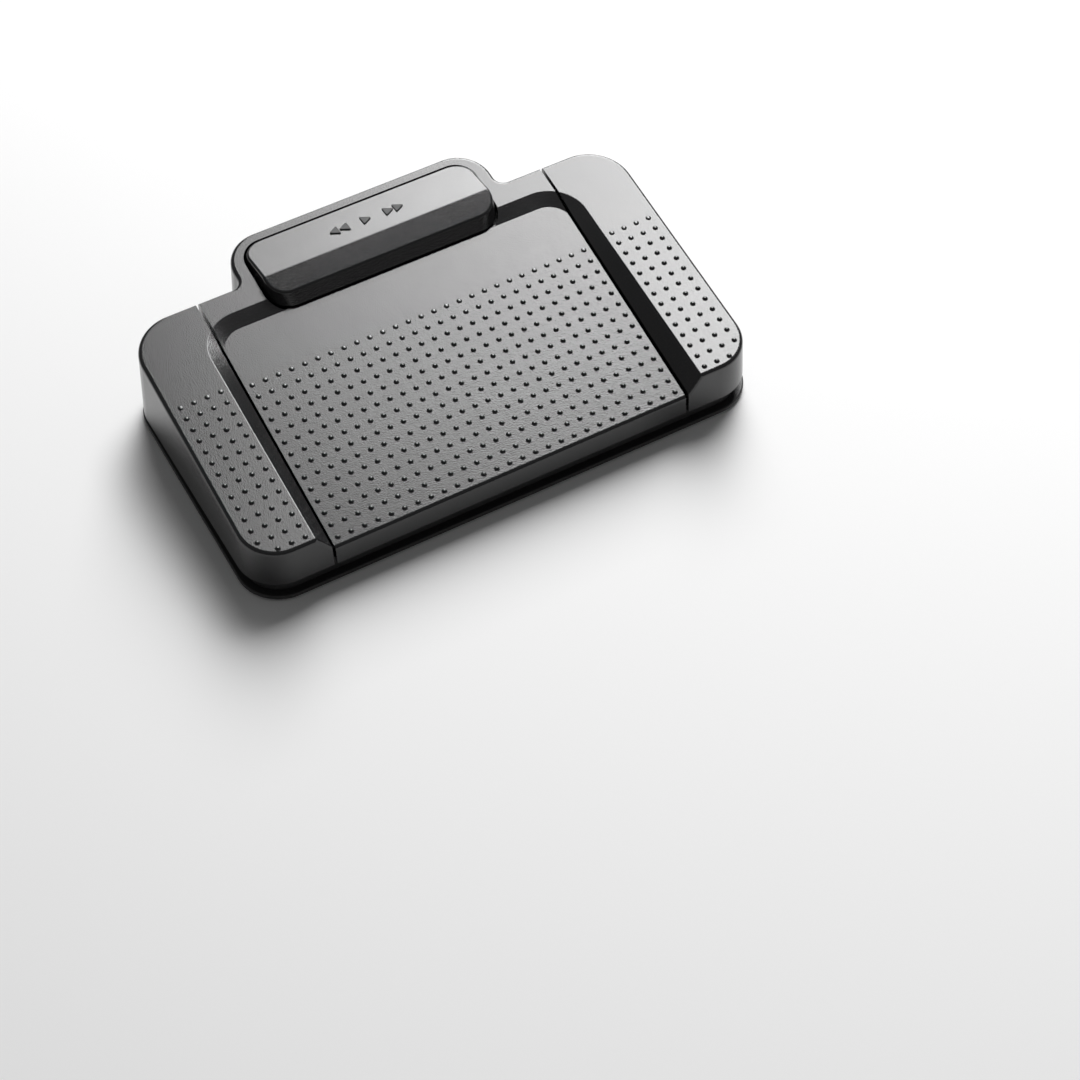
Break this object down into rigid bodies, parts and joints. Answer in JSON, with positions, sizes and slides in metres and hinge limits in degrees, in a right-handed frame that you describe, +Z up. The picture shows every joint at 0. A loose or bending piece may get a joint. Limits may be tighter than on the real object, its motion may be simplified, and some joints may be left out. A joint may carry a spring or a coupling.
{
  "type": "foot control",
  "caption": "Low foot control with three rocking pedals side by side and a smaller wedge-shaped bar pedal on a raised hump behind them.",
  "frame": {"origin": "on the floor, under the centre of the base's bounding box", "axes": "+X to the right pedal, along the longest side; +Y to the rear, where the cable leaves; +Z up"},
  "size_m": [0.2112, 0.1386, 0.043],
  "materials": {
    "moulded_grey": "injection-moulded ABS, fine sand texture",
    "base_black": "injection-moulded ABS, fine texture",
    "rubber_black": "moulded rubber, matt",
    "steel": "drawn or zinc-plated steel",
    "nickel": "nickel-plated magnet",
    "board_green": "glass-epoxy board with solder mask",
    "component_black": "moulded epoxy package",
    "connector_white": "nylon connector body",
    "lead_film": "polyimide flat lead"
  },
  "bodies": {
    "base": {"base_tray": "base_black", "ballast_plate": "steel", "ballast_screws": "steel", "hinge_axle": "steel", "rubber_feet": "rubber_black", "stop_bumpers": "rubber_black", "circuit_board": "board_green", "board_screws": "steel", "pedal_sensors": "component_black", "controller_chip": "component_black", "board_components": "component_black", "cable_header": "connector_white", "lead_socket": "connector_white", "cable_grommet": "rubber_black", "cable_clamp": "base_black", "clamp_screws": "steel", "left_spring": "steel", "right_spring": "steel", "centre_springs": "steel"},
    "left": {"left_pedal": "moulded_grey", "left_magnet": "nickel"},
    "right": {"right_pedal": "moulded_grey", "right_magnet": "nickel"},
    "centre": {"centre_pedal": "moulded_grey", "centre_magnet": "nickel", "bar_axle": "steel", "bar_springs": "steel", "bar_board": "board_green", "bar_board_screws": "steel", "bar_sensor": "component_black", "bar_lead": "lead_film"},
    "bar": {"top_bar": "moulded_grey", "bar_magnet": "nickel"}
  },
  "joints": [
    {"name": "left_pedal_hinge", "type": "hinge", "parent": "base", "child": "left", "pos_m": [0, 0.03866, 0.008], "axis": [1, 0, 0], "range_deg": [0, 2.8], "stiffness_Nm_per_rad": 9, "springref_deg": -3.55, "deforming": ["left_spring"]},
    {"name": "centre_pedal_hinge", "type": "hinge", "parent": "base", "child": "centre", "pos_m": [0, 0.03866, 0.008], "axis": [1, 0, 0], "range_deg": [0, 2.8], "stiffness_Nm_per_rad": 18, "springref_deg": -3.55, "deforming": ["centre_springs", "bar_lead"]},
    {"name": "right_pedal_hinge", "type": "hinge", "parent": "base", "child": "right", "pos_m": [0, 0.03866, 0.008], "axis": [1, 0, 0], "range_deg": [0, 2.8], "stiffness_Nm_per_rad": 9, "springref_deg": -3.55, "deforming": ["right_spring"]},
    {"name": "bar_hinge", "type": "hinge", "parent": "centre", "child": "bar", "pos_m": [0, 0.0565, 0.033], "axis": [1, 0, 0], "range_deg": [0, 1.5], "stiffness_Nm_per_rad": 0.32, "springref_deg": -8.37, "deforming": ["bar_springs"]}
  ]
}
